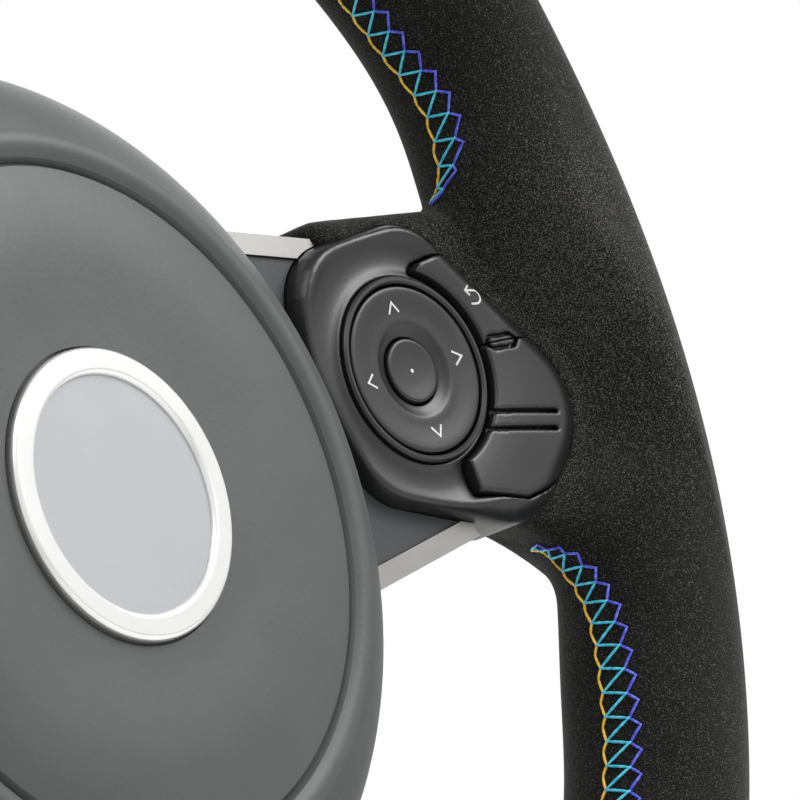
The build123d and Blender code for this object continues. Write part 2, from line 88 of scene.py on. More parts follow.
# Switch pod: its place, outline and heights, the slope that the suede keeps round it, and its pocket
POD_MM = (110.2, 4.83, -4.06)
POD_TILT = math.radians(7.45)
POD_OUTLINE = [(-25, 4), (-22.5, 26.2), (12, 29.6), (47.2, -13.5), (20.2, -35.6), (-18.5, -21.8)]
POD_CORNERS = [40, 14, 13, 16, 18, 13]
POD_FACE_MM = 1.5
POD_BACK_MM = -15.0
POD_ROOF_MM = -4.6
POD_SHOULDER_MM = 5.5
CLEAR_SLOPE = math.radians(38)
CLEAR_EDGE_MM = 2.0
CLEAR_HEIGHT_MM = 0.2
CLEAR_ROUND_MM = 4.5
POCKET_INSET_MM = 0.9
POCKET_FLOOR_MM = -14.0
LIP_HOLE_MM = 18.45

# Button field of the pod: outline, slot mark, split between button and panel, and grooves
SEGMENT_INNER_MM = 19.9
SEGMENT_GAP_MM = 0.45
SEGMENT_OUTLINE = [
    (0, 0), (7.2, 17.6), (9.4, 19.8), (14, 20.5), (60, 21),
    (60, -19.3), (24, -28.2), (17.5, -29), (5, -25.6), (5.4, -16),
]
SEGMENT_MIDDLE_MM = 25.0
SLOT_MARK = [(20.2, 1.6), (21.4, 2.9), (26.9, 2.7), (28.6, 1.4), (27.4, 0.2), (21.9, 0.4)]
SLOT_HALF_MM = 0.38
SLOT_FLOOR_MM = -0.3
SPLIT_MM = 1.6
SPLIT_TURN = -2.0
SPLIT_GAP_MM = 0.06
BUTTON_ROOM_MM = 0.9
GROOVES = [(-2.6, -12.7), (-3.6, -16.2)]
GROOVE_TURN = -9.6
GROOVE_HALF_MM = (13.25, 0.42)
GROOVE_FLOOR_MM = -0.6

# Turned profiles of the four-way pad and the centre key: radius, height
PAD_PROFILE = [
    (16.4, -3.2), (16.4, -0.35), (16.28, -0.1), (16, 0), (15.4, -0.02), (14, -0.2), (12, -0.45),
    (10.5, -0.55), (9.6, -0.52), (9.2, -0.6), (8.6, -0.95), (7.8, -1.3), (7.1, -1.5), (6.75, -1.7),
    (6.7, -2), (6.7, -3.2),
]
KEY_PROFILE = [
    (0, -4.2), (6.3, -4.2), (6.3, -1.35), (6.2, -1.05), (5.95, -0.92), (5.5, -0.95), (4, -1.15), (2, -1.27),
    (0, -1.3),
]

# Printed marks: the return arrow and the centre dot, in pod millimetres, and their height in metres
ARROW_PLACE = (20.6, 11.4)
ARROW_TURN = math.radians(-8)
ARROW_BEND_MM = 1.35
ARROW_HEAD = [(-0.9, 2.0), (-1.95, 1.0), (-0.9, 0.0)]
DOT_MM = 0.4
PRINT_LIFT = 0.00006

# Seam on the inside of the rim: angle round the wheel, angle round the grip (0 inner, 90 to the driver)
SEAM_TAPER_MM = 16.0
SEAM_UPPER = [
    (11.2, -34), (11.6, -26), (12.2, -13.4), (13.4, -2.4), (15.5, 4), (17.7, 5.5), (20.7, 1.6),
    (23.8, -4), (27.6, -5.4), (40, -4), (60, 0), (90, 4),
]
SEAM_LOWER = [
    (-90, 10), (-60, 15), (-37.8, 17.4), (-33, 17.5), (-28.4, 16), (-25.9, 13.4), (-23.4, 8.7),
    (-21, -1.2), (-18.9, -13), (-17.8, -18), (-16.4, -23), (-15.1, -32), (-14.5, -39),
]

# Middle of the painted sheen beside each pod: paler suede colour that stands in for a haze of light there
PAINTED_SHEEN_SPOT = (0.15, 0.072, 0.0)

# Camera: place, then yaw, pitch and roll; lamps: name, place, aim, size and power
CAMERA_PLACE = (-0.40271, -0.35709 - DISH_MM * MM, -0.06536)
CAMERA_TURN = (0.9486, 0.0901, -0.3255)
LAMPS = [
    ("key", (0.9, -1.2, 0.9), (0.08, -0.06, 0), 1.0, 24),
    ("top", (-0.6, -0.6, 1.2), (0.05, -0.06, 0), 0.7, 5),
    ("edge", (1.3, 0.4, 0.5), (0.12, -0.06, 0), 0.9, 4),
]
BRIGHT_SIDE = (1.0, 0.2, 0.3)
FLOOR_HALF = 4.0


# Small tools
def linear(code):
    """Linear colour of an sRGB hex code."""
    values = []
    for i in (0, 2, 4):
        c = int(code[i:i + 2], 16) / 255
        values.append(c / 12.92 if c <= 0.04045 else ((c + 0.055) / 1.055) ** 2.4)
    return (*values, 1.0)


def add_node(tree, kind, links=None, **values):
    """Adds one node, sets its attributes or inputs by name and joins its inputs."""
    made = tree.nodes.new(kind)
    for key, value in values.items():
        if hasattr(made, key):
            setattr(made, key, value)
        else:
            made.inputs[key.replace("_", " ")].default_value = value
    for key, source in (links or {}).items():
        tree.links.new(source, made.inputs[key])
    return made


def new_material(name, base, roughness, metallic=0.0):
    """Material with its shader, object coordinates and base settings."""
    mat = bpy.data.materials.new(name)
    mat.use_nodes = True
    tree = mat.node_tree
    shader = tree.nodes["Principled BSDF"]
    shader.inputs["Base Color"].default_value = linear(base)
    shader.inputs["Roughness"].default_value = roughness
    shader.inputs["Metallic"].default_value = metallic
    coords = add_node(tree, "ShaderNodeTexCoord").outputs["Object"]
    return mat, tree, shader, coords


def vary_colour(tree, shader, coords, scale, dark, light, low=0.35, high=0.65):
    """Colour that wanders between two tones."""
    noise = add_node(tree, "ShaderNodeTexNoise", {"Vector": coords}, Scale=scale, Detail=3.0)
    ramp = add_node(tree, "ShaderNodeValToRGB", {"Fac": noise.outputs["Fac"]})
    ramp.color_ramp.elements[0].position = low
    ramp.color_ramp.elements[1].position = high
    ramp.color_ramp.elements[0].color = linear(dark)
    ramp.color_ramp.elements[1].color = linear(light)
    tree.links.new(ramp.outputs["Color"], shader.inputs["Base Color"])


def vary_roughness(tree, shader, coords, scale, low, high):
    """Roughness that wanders between two values."""
    noise = add_node(tree, "ShaderNodeTexNoise", {"Vector": coords}, Scale=scale, Detail=4.0)
    span = add_node(tree, "ShaderNodeMapRange", {"Value": noise.outputs["Fac"]}, To_Min=low, To_Max=high)
    tree.links.new(span.outputs["Result"], shader.inputs["Roughness"])


def grain(tree, shader, coords, scale, strength, distance):
    """Fine bump."""
    noise = add_node(tree, "ShaderNodeTexNoise", {"Vector": coords}, Scale=scale)
    bump = add_node(tree, "ShaderNodeBump", {"Height": noise.outputs["Fac"]},
                    Strength=strength, Distance=distance)
    tree.links.new(bump.outputs["Normal"], shader.inputs["Normal"])


def suede_material():
    """Napped microfibre: near black, pale flecks of fibre, soft sheen at grazing angles, and painted sheen
    beside each pod.
    """
    mat, tree, shader, coords = new_material("black_suede", "1b1b1c", 0.95)
    broad = add_node(tree, "ShaderNodeTexNoise", {"Vector": coords}, Scale=55.0, Detail=3.0)
    tone = add_node(tree, "ShaderNodeValToRGB", {"Fac": broad.outputs["Fac"]})
    tone.color_ramp.elements[0].position = 0.3
    tone.color_ramp.elements[1].position = 0.7
    tone.color_ramp.elements[0].color = linear("111111")
    tone.color_ramp.elements[1].color = linear("181817")
    # Painted sheen: more pale flecks round a spot beside each pod, colour standing in for a haze of light
    fold = add_node(tree, "ShaderNodeVectorMath", {"Vector": coords}, operation="ABSOLUTE")
    away = add_node(tree, "ShaderNodeVectorMath", operation="DISTANCE")
    tree.links.new(fold.outputs["Vector"], away.inputs[0])
    away.inputs[1].default_value = PAINTED_SHEEN_SPOT
    painted_sheen = add_node(tree, "ShaderNodeMapRange", {"Value": away.outputs["Value"]},
                       interpolation_type="SMOOTHSTEP",
                       From_Min=0.008, From_Max=0.06, To_Min=0.07, To_Max=0.0)
    fleck = add_node(tree, "ShaderNodeTexNoise", {"Vector": coords}, Scale=3800.0, Detail=2.0)
    total = add_node(tree, "ShaderNodeMath", operation="ADD")
    tree.links.new(fleck.outputs["Fac"], total.inputs[0])
    tree.links.new(painted_sheen.outputs["Result"], total.inputs[1])
    mask = add_node(tree, "ShaderNodeMapRange", {"Value": total.outputs["Value"]},
                    From_Min=0.56, From_Max=0.8, To_Min=0.0, To_Max=1.0)
    mix = add_node(tree, "ShaderNodeMix", {"Factor": mask.outputs["Result"]}, data_type="RGBA")
    tree.links.new(tone.outputs["Color"], mix.inputs[6])
    mix.inputs[7].default_value = linear("706f69")
    tree.links.new(mix.outputs[2], shader.inputs["Base Color"])
    nap = add_node(tree, "ShaderNodeTexNoise", {"Vector": coords}, Scale=1500.0, Detail=4.0)
    bump = add_node(tree, "ShaderNodeBump", {"Height": nap.outputs["Fac"]}, Strength=0.5, Distance=0.0004)
    tree.links.new(bump.outputs["Normal"], shader.inputs["Normal"])
    shader.inputs["Sheen Weight"].default_value = 0.1
    shader.inputs["Sheen Roughness"].default_value = 0.35
    shader.inputs["Specular IOR Level"].default_value = 0.15
    return mat


def moulded_material(name, base, light, roughness, scale=900.0, strength=0.18):
    """Moulded plastic with a fine etched grain."""
    mat, tree, shader, coords = new_material(name, base, roughness)
    vary_colour(tree, shader, coords, 70.0, base, light)
    vary_roughness(tree, shader, coords, 140.0, roughness - 0.05, roughness + 0.05)
    grain(tree, shader, coords, scale, strength, 0.0002)
    return mat


def metal_material(name, base, light, roughness, scale=300.0, strength=0.08):
    """Worked metal with faint mottling."""
    mat, tree, shader, coords = new_material(name, base, roughness, 1.0)
    vary_colour(tree, shader, coords, 90.0, base, light)
    vary_roughness(tree, shader, coords, scale, roughness - 0.06, roughness + 0.06)
    grain(tree, shader, coords, scale * 3, strength, 0.0001)
    return mat


def cloth_material(name, base, light):
    """Plain weave of fine yarn."""
    mat, tree, shader, coords = new_material(name, base, 0.9)
    vary_colour(tree, shader, coords, 120.0, base, light)
    wave = add_node(tree, "ShaderNodeTexWave", {"Vector": coords}, Scale=700.0, Distortion=0.6)
    bump = add_node(tree, "ShaderNodeBump", {"Height": wave.outputs["Fac"]}, Strength=0.5, Distance=0.0003)
    tree.links.new(bump.outputs["Normal"], shader.inputs["Normal"])
    return mat


def thread_material(name, base, light):
    """Polyester sewing thread with a twist sheen."""
    mat, tree, shader, coords = new_material(name, base, 0.45)
    vary_colour(tree, shader, coords, 900.0, base, light, 0.4, 0.62)
    grain(tree, shader, coords, 3500.0, 0.3, 0.0001)
    shader.inputs["Sheen Weight"].default_value = 0.3
    return mat


def print_material():
    """White pad-printed ink, slightly uneven."""
    mat, tree, shader, coords = new_material("white_print", "cfcfcd", 0.5)
    vary_colour(tree, shader, coords, 1500.0, "c4c4c2", "dadad8")
    return mat


def emblem_metal():
    """Bright satin plating of the emblem ring."""
    mat, tree, shader, coords = new_material("bright_plating", "e4e4e2", 0.24, 0.85)
    vary_roughness(tree, shader, coords, 240.0, 0.2, 0.3)
    return mat


MATERIALS = {}


def paint(node, key):
    """Gives a solid of the frame its material."""
    obj = NODES[node]
    obj.data.materials.clear()
    obj.data.materials.append(MATERIALS[key])


def mesh_object(name, verts, faces, mat, smooth=True):
    """New mesh object at the origin."""
    mesh = bpy.data.meshes.new(name)
    mesh.from_pydata([tuple(v) for v in verts], [], [tuple(f) for f in faces])
    mesh.update()
    if smooth:
        mesh.shade_smooth()
    obj = bpy.data.objects.new(name, mesh)
    bpy.context.scene.collection.objects.link(obj)
    obj.data.materials.append(mat)
    return obj


# Shapes of the rim and the pod as distance fields
def round_corners(points, radii, steps=6):
    """Polygon with its corners turned into short arcs."""
    out = []
    count = len(points)
    for i in range(count):
        p = np.array(points[i], float)
        a = np.array(points[i - 1], float) - p
        b = np.array(points[(i + 1) % count], float) - p
        a /= np.linalg.norm(a)
        b /= np.linalg.norm(b)
        half = math.acos(np.clip(a @ b, -1, 1)) / 2
        reach = radii[i] / math.tan(half)
        centre = p + (a + b) / np.linalg.norm(a + b) * radii[i] / math.sin(half)
        start = p + a * reach - centre
        stop = p + b * reach - centre
        turn = math.atan2(start[0] * stop[1] - start[1] * stop[0], start @ stop)
        for k in range(steps + 1):
            angle = turn * k / steps
            c, s = math.cos(angle), math.sin(angle)
            out.append((centre[0] + c * start[0] - s * start[1], centre[1] + s * start[0] + c * start[1]))
    return np.array(out)


POD_LINE = round_corners(POD_OUTLINE, POD_CORNERS)


def outline_distance(line, u, v):
    """Signed distance to a closed outline, negative inside."""
    best = np.full(u.shape, 1e9)
    inside = np.zeros(u.shape, bool)
    for i in range(len(line)):
        ax, ay = line[i - 1]
        bx, by = line[i]
        ex, ey = bx - ax, by - ay
        along = np.clip(((u - ax) * ex + (v - ay) * ey) / (ex * ex + ey * ey + 1e-12), 0, 1)
        best = np.minimum(best, np.hypot(u - ax - along * ex, v - ay - along * ey))
        if ay != by:
            crosses = ((ay > v) != (by > v)) & (u < (bx - ax) * (v - ay) / (by - ay) + ax)
            inside ^= crosses
    return np.where(inside, -best, best)


def smooth_min(a, b, k):
    """Union with a fillet of about k."""
    h = np.clip(0.5 + 0.5 * (b - a) / k, 0, 1)
    return b + (a - b) * h - k * h * (1 - h)


def smooth_max(a, b, k):
    """Overlap with an edge rounded by about k."""
    return -smooth_min(-a, -b, k)


def rounded_corner(a, b, radius):
    """Overlap of two walls at right angles, with an edge of that radius."""
    a, b = a + radius, b + radius
    return np.hypot(np.maximum(a, 0), np.maximum(b, 0)) + np.minimum(np.maximum(a, b), 0) - radius


def to_pod(x, y, z):
    """Right-hand pod coordinates: along the spoke, up, out of the face."""
    c, s = math.cos(POD_TILT), math.sin(POD_TILT)
    dx, dy, dz = x - POD_MM[0], y - POD_MM[1], z - POD_MM[2]
    return dx * c - dy * s, dz, -dx * s - dy * c


def from_pod(u, v, w, side):
    """Points of the row frame, in metres, from pod coordinates in millimetres."""
    c, s = math.cos(POD_TILT), math.sin(POD_TILT)
    x = POD_MM[0] + u * c - w * s
    y = POD_MM[1] - u * s - w * c
    return np.stack([side * x, y - DISH_MM, POD_MM[2] + v], -1) * MM


def bumps(table, x, z):
    """Sum of soft bumps at their angles round the wheel."""
    angle = np.degrees(np.arctan2(z, np.maximum(x, 0.01)))
    total = np.zeros(np.shape(x))
    for middle, height, width in table:
        total = total + height * np.exp(-((angle - middle) / width) ** 2)
    return total


def grip_field(x, y, z):
    """Distance to the plain grip: fuller at the thumb rests, drawn out towards the hub at the spokes."""
    out = np.hypot(x, z)
    core = np.clip(out, RING_MM - bumps(FLARES, x, z), RING_MM)
    return np.hypot(out - core, y) - GRIP_MM - bumps(SWELLS, x, z)


def rim_field(x, y, z, pocket=True):
    """Distance to the suede surface of the right half, in millimetres, negative inside."""
    ring = grip_field(x, y, z)
    field = ring.copy()
    near = (x > 90) & (np.abs(z + 4) < 85)
    if near.any():
        px, py, pz = x[near], y[near], z[near]
        table = np.array(ROOT_SECTIONS, float)
        front, back, low, high = (np.interp(px, table[:, 0], table[:, k]) for k in range(1, 5))
        low = low + ROOT_RISE * np.clip(py - front - 4, 0, 30)
        qy = np.abs(py - (front + back) / 2) - (back - front) / 2
        qz = np.abs(pz - (low + high) / 2) - (high - low) / 2
        box = rounded_corner(qy, qz, ROOT_CORNER_MM)
        end = (ROOT_END_MM - px) * math.cos(ROOT_LEAN) - (pz + 5) * math.sin(ROOT_LEAN)
        box = smooth_max(box, end, ROOT_END_ROUND_MM)
        box = np.maximum(box, np.hypot(px, pz) - RING_MM + ROOT_DEPTH_MM)
        body = smooth_min(ring[near], box, 2.0 + 12.0 * np.clip(-(pz + 8) / 22, 0, 1))
        u, v, w = to_pod(px, py, pz)
        edge = outline_distance(POD_LINE, u, v)
        above = w - CLEAR_HEIGHT_MM
        cone = (edge - CLEAR_EDGE_MM) * math.cos(CLEAR_SLOPE) - above * math.sin(CLEAR_SLOPE)
        body = smooth_max(body, -np.maximum(cone, -above), CLEAR_ROUND_MM)
        if pocket:
            body = np.maximum(body, -np.maximum(edge + POCKET_INSET_MM, POCKET_FLOOR_MM - w))
        field[near] = body
    return smooth_max(field, HALF_GAP_MM - x, HALF_ROUND_MM)


def turned_frame(u, v, degrees):
    """Coordinates turned about the middle of the button field."""
    c, s = math.cos(math.radians(degrees)), math.sin(math.radians(degrees))
    along = u - SEGMENT_MIDDLE_MM
    return along * c + v * s, v * c - along * s


def bowl_height(out):
    """Height of the dished face at a distance from the pad's middle: a soft lip, a trough, then a rise."""
    lip = 0.95 * np.exp(-((out - 18) / 1.7) ** 2)
    rise = 3.0 * np.clip((out - 22) / 8, 0, None) ** 2
    return lip + rise - 1.35


def pod_fields(u, v, w):
    """Distances to the pod's shell, its return button and its blank panel, in pod millimetres."""
    out = np.hypot(u, v)
    block = rounded_corner(outline_distance(POD_LINE, u, v), w - POD_FACE_MM, POD_SHOULDER_MM)
    field = np.maximum(outline_distance(SEGMENT_OUTLINE, u, v), SEGMENT_INNER_MM - out)
    shell = smooth_max(block, w - bowl_height(out), 1.0)
    shell = smooth_max(shell, LIP_HOLE_MM - out, 0.5)
    shell = np.maximum(shell, POD_BACK_MM - w)
    shell = smooth_max(shell, -np.maximum(field - SEGMENT_GAP_MM, POD_ROOF_MM - w), 0.5)
    top = smooth_max(block, w - 0.9 - 0.15 * (out - 20), 0.8)
    top = smooth_max(top, field, 0.7)
    slot = np.abs(outline_distance(SLOT_MARK, u, v)) - SLOT_HALF_MM
    top = np.maximum(top, -np.maximum(slot, SLOT_FLOOR_MM - w))
    split = turned_frame(u, v, SPLIT_TURN)[1] - SPLIT_MM
    button = smooth_max(top, SPLIT_GAP_MM - split, 0.25)
    button = smooth_max(button, POD_ROOF_MM + BUTTON_ROOM_MM - w, 0.4)
    panel = smooth_max(top, split + SPLIT_GAP_MM, 0.25)
    panel = smooth_max(panel, POD_ROOF_MM - w, 0.4)
    along, across = turned_frame(u, v, GROOVE_TURN)
    for du, dv in GROOVES:
        groove = np.maximum(np.abs(along - du) - GROOVE_HALF_MM[0], np.abs(across - dv) - GROOVE_HALF_MM[1])
        panel = smooth_max(panel, -np.maximum(groove, GROOVE_FLOOR_MM - w), 0.3)
    return shell, button, panel


def sample_grid(low, high, step):
    """Coordinates of an even grid between two corners."""
    axes = [np.arange(low[k], high[k], step) for k in range(3)]
    return np.meshgrid(*axes, indexing="ij")


def surface_net(field, low, step):
    """Quads of the zero level of a sampled field, one vertex in each crossed cell."""
    shape = np.array(field.shape) - 1
    total = np.zeros((*shape, 3))
    count = np.zeros(shape)
    crossings = []
    for axis in range(3):
        a = np.moveaxis(field, axis, 0)[:-1]
        b = np.moveaxis(field, axis, 0)[1:]
        cross = (a < 0) != (b < 0)
        part = np.where(cross, a / np.where(cross, a - b, 1), 0)
        crossings.append((cross, a < 0))
        others = [k for k in range(3) if k != axis]
        for d0 in (0, 1):
            for d1 in (0, 1):
                window = (slice(None), slice(d0, d0 + shape[others[0]]), slice(d1, d1 + shape[others[1]]))
                hit = np.moveaxis(cross[window], 0, axis)
                total[..., axis] += np.moveaxis(part[window], 0, axis)
                total[..., others[0]] += hit * d0
                total[..., others[1]] += hit * d1
                count += hit
    used = count > 0
    number = np.full(shape, -1)
    number[used] = np.arange(used.sum())
    verts = low + (np.argwhere(used) + total[used] / count[used][:, None]) * step
    faces = []
    for axis, (cross, starts_in) in enumerate(crossings):
        cells = np.moveaxis(number, axis, 0)
        hit = cross[:, 1:-1, 1:-1]
        quad = [cells[:, :-1, :-1], cells[:, 1:, :-1], cells[:, 1:, 1:], cells[:, :-1, 1:]]
        corners = np.stack([q[hit] for q in quad], 1)
        flip = starts_in[:, 1:-1, 1:-1][hit]
        if axis == 1:
            flip = ~flip
        corners[~flip] = corners[~flip][:, ::-1]
        faces.append(corners)
    return verts, np.concatenate(faces)


def settle(points, steps=4):
    """Moves points onto the zero level of the rim's field."""
    p = points.copy()
    for _ in range(steps):
        f = rim_field(*p.T, pocket=False)
        slope = field_slope(p)
        p -= slope * (f / np.maximum((slope ** 2).sum(1), 0.05))[:, None]
    return p


def field_slope(p):
    """Gradient of the rim's field."""
    e = 0.15
    out = np.empty_like(p)
    for k in range(3):
        d = np.zeros(3)
        d[k] = e
        out[:, k] = (rim_field(*(p + d).T, pocket=False) - rim_field(*(p - d).T, pocket=False)) / (2 * e)
    return out


# Properties
def length_property(name, note, value):
    """Length setting in metres."""
    return bpy.props.FloatProperty(name=name, description=note, default=value, unit="LENGTH", precision=5)


class WheelRimSettings(bpy.types.PropertyGroup):
    """Suede surface of the rim."""
    cell: length_property("Cell", "Mesh cell size", 0.0012)
    wrap: length_property("Wrap", "Suede thickness", 0.0016)
    fill: bpy.props.FloatProperty(name="Fill", description="Tightness over the foam", default=0.95)


class WheelStitchSettings(bpy.types.PropertyGroup):
    """Cross-stitching along the seam."""
    pitch: length_property("Pitch", "Length of one stitch", 0.005)
    thread: length_property("Thread", "Thread radius", 0.00027)
    lift: length_property("Lift", "Height over the suede", 0.00015)


class WheelSwitchSettings(bpy.types.PropertyGroup):
    """Moulded surfaces and printed marks of the switch pods."""
    cell: length_property("Cell", "Mesh cell size", 0.00036)
    stroke: length_property("Stroke", "Line width", 0.00042)
    chevron: length_property("Chevron", "Half width", 0.0014)
    ring: length_property("Ring", "Radius of the marks", 0.0124)


class WheelStageSettings(bpy.types.PropertyGroup):
    """Floor, light and camera."""
    lens: bpy.props.FloatProperty(name="Lens", description="Focal length in millimetres", default=150.75)
    floor: length_property("Floor", "Floor height", -0.6)
    shade: bpy.props.FloatProperty(name="Shade", description="Light from the room's dim side", default=0.25)


# Pieces
class WHEEL_OT_materials(bpy.types.Operator):
    """Makes every material."""
    bl_idname = "wheel.materials"
    bl_label = "Materials"

    def execute(self, context):
        MATERIALS.update({
            "suede": suede_material(),
            "pad": moulded_material("soft_touch_grey", "434545", "474949", 0.5, 1100.0, 0.22),
            "switch": moulded_material("satin_black_plastic", "1a1a1b", "1e1e1f", 0.36, 1400.0, 0.1),
            "inlay": moulded_material("dark_grey_inlay", "2d3032", "313436", 0.55),
            "shell": moulded_material("black_grained_plastic", "1c1c1d", "242425", 0.55, 500.0, 0.4),
            "field": moulded_material("silver_grey_lacquer", "a6a7ab", "a8a9ad", 0.35),
            "silver": metal_material("satin_silver_paint", "918f8c", "979693", 0.42),
            "plating": emblem_metal(),
            "alloy": metal_material("die_cast_alloy", "8d8f91", "a5a7a9", 0.5, 200.0, 0.3),
            "steel": metal_material("machined_steel", "86868a", "9a9a9e", 0.32),
            "pressed": metal_material("pressed_steel", "77787b", "8b8c8f", 0.42),
            "zinc": metal_material("zinc_plate", "7e7f80", "999a9c", 0.38),
            "spring": metal_material("spring_wire", "707174", "8c8d90", 0.3),
            "cushion": cloth_material("woven_nylon", "c8c7c1", "d8d7d2"),
            "foam": moulded_material("moulded_foam", "262626", "2e2e2e", 0.85, 350.0, 0.6),
            "board": moulded_material("green_laminate", "14502c", "1a5c34", 0.4),
            "rubber": moulded_material("grey_silicone", "8a8a88", "969694", 0.6),
            "print": print_material(),
            "yellow": thread_material("yellow_thread", "ffbe00", "ffdf48"),
            "cyan": thread_material("cyan_thread", "27c0e6", "62e6fb"),
            "blue": thread_material("indigo_thread", "3c44dc", "6c78fa"),
        })
        return {"FINISHED"}


class WHEEL_OT_rim(bpy.types.Operator):
    """Suede wrap with its flared roots and the foam under it, each in a right and a left piece."""
    bl_idname = "wheel.rim"
    bl_label = "Rim"

    def execute(self, context):
        settings = context.scene.wheel_rim
        step = settings.cell / MM
        wrap = settings.wrap / MM
        self.shell("suede_wrap", "rim_cover", "suede", 0.0, step, settings.fill)
        self.shell("foam_core", "rim_foam", "foam", wrap, 2 * step, 1.0)
        return {"FINISHED"}

    def shell(self, name, node, finish, inset, step, fill):
        """One layer of the rim, drawn in from the suede surface, right and left."""
        low = np.array([-2.0, -25.0, -184.0])
        high = np.array([184.0, 47.0, 184.0])
        x, y, z = sample_grid(low, high, step)
        field = rim_field(x.ravel(), y.ravel(), z.ravel()).reshape(x.shape) + inset
        verts, faces = surface_net(field, low, step)
        for side, word in ((1, "right"), (-1, "left")):
            placed = verts * (side * MM, MM, MM) - (0, DISH_MM * MM, 0)
            turned = faces if side == 1 else faces[:, ::-1]
            obj = mesh_object(f"{name}_{word}", placed, turned, MATERIALS[finish])
            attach(obj, "wheel")
            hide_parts(f"{node}_{word}")


def seam_points(table, pitch):
    """Seam angles at even spacing down the right half of the wheel."""
    table = np.array(sorted(table, reverse=True), float)
    fine = np.linspace(table[0, 0], table[-1, 0], 600)
    grip = np.interp(-fine, -table[:, 0], table[:, 1])
    run = np.hypot(np.diff(np.radians(fine)) * (RING_MM - GRIP_MM), np.diff(np.radians(grip)) * GRIP_MM)
    length = np.concatenate([[0], np.cumsum(run)])
    count = int(length[-1] / pitch)
    return fine, grip, length, count


def seam_place(seam, distance, aside):
    """Points beside the seam, settled on the suede: distance down it, aside in degrees round the grip.

    The stitches narrow towards the spoke root.
    """
    fine, grip, length, _ = seam
    a = np.radians(np.interp(distance, length, fine))
    from_root = distance if grip[0] < grip[-1] else length[-1] - distance
    narrow = np.clip(from_root / SEAM_TAPER_MM, 0.3, 1.0)
    g = np.radians(np.interp(distance, length, grip) + aside * narrow)
    grip_mm = GRIP_MM + bumps(SWELLS, np.cos(a), np.sin(a))
    out = RING_MM - bumps(FLARES, np.cos(a), np.sin(a)) - grip_mm * np.cos(g)
    p = np.stack([out * np.cos(a), -grip_mm * np.sin(g), out * np.sin(a)], 1)
    return settle(p)


def stitch_mesh(radius):
    """One stitch of unit length along X: arched twisted thread with tucked ends."""
    bm = bmesh.new()
    rings = []
    around, along = 8, 10
    for i in range(along + 1):
        t = i / along
        pinch = 0.55 + 0.45 * math.sin(math.pi * min(max(t, 0.02), 0.98)) ** 0.4
        arch = 0.55 * radius * math.sin(math.pi * t)
        ring = []
        for k in range(around):
            angle = 2 * math.pi * k / around
            r = radius * pinch * (1 + 0.14 * math.cos(2 * angle - 6 * math.pi * t))
            ring.append(bm.verts.new((t - 0.5, r * math.cos(angle), arch + r * math.sin(angle))))
        rings.append(ring)
    for a, b in zip(rings, rings[1:]):
        for k in range(around):
            bm.faces.new((a[k], a[(k + 1) % around], b[(k + 1) % around], b[k]))
    bm.faces.new(rings[0][::-1])
    bm.faces.new(rings[-1])
    mesh = bpy.data.meshes.new("stitch")
    bm.normal_update()
    bm.to_mesh(mesh)
    bm.free()
    mesh.shade_smooth()
    return mesh


def stitch_tree(name):
    """Geometry nodes that lay one stitch on every point, turned and stretched by its attributes."""
    tree = bpy.data.node_groups.new(name, "GeometryNodeTree")
    tree.interface.new_socket("Geometry", in_out="INPUT", socket_type="NodeSocketGeometry")
    pick = tree.interface.new_socket("Stitch", in_out="INPUT", socket_type="NodeSocketObject")
    cloth = tree.interface.new_socket("Thread", in_out="INPUT", socket_type="NodeSocketMaterial")
    tree.interface.new_socket("Geometry", in_out="OUTPUT", socket_type="NodeSocketGeometry")
    source = add_node(tree, "NodeGroupInput")
    info = add_node(tree, "GeometryNodeObjectInfo", {"Object": source.outputs["Stitch"]})
    turn = add_node(tree, "GeometryNodeInputNamedAttribute", data_type="QUATERNION")
    turn.inputs["Name"].default_value = "turn"
    length = add_node(tree, "GeometryNodeInputNamedAttribute", data_type="FLOAT")
    length.inputs["Name"].default_value = "length"
    scale = add_node(tree, "ShaderNodeCombineXYZ", {"X": length.outputs["Attribute"]}, Y=1.0, Z=1.0)
    lay = add_node(tree, "GeometryNodeInstanceOnPoints", {
        "Points": source.outputs["Geometry"], "Instance": info.outputs["Geometry"],
        "Rotation": turn.outputs["Attribute"], "Scale": scale.outputs["Vector"],
    })
    real = add_node(tree, "GeometryNodeRealizeInstances", {"Geometry": lay.outputs["Instances"]})
    dress = add_node(tree, "GeometryNodeSetMaterial", {
        "Geometry": real.outputs["Geometry"], "Material": source.outputs["Thread"],
    })
    add_node(tree, "NodeGroupOutput", {"Geometry": dress.outputs["Geometry"]})
    return tree, pick.identifier, cloth.identifier


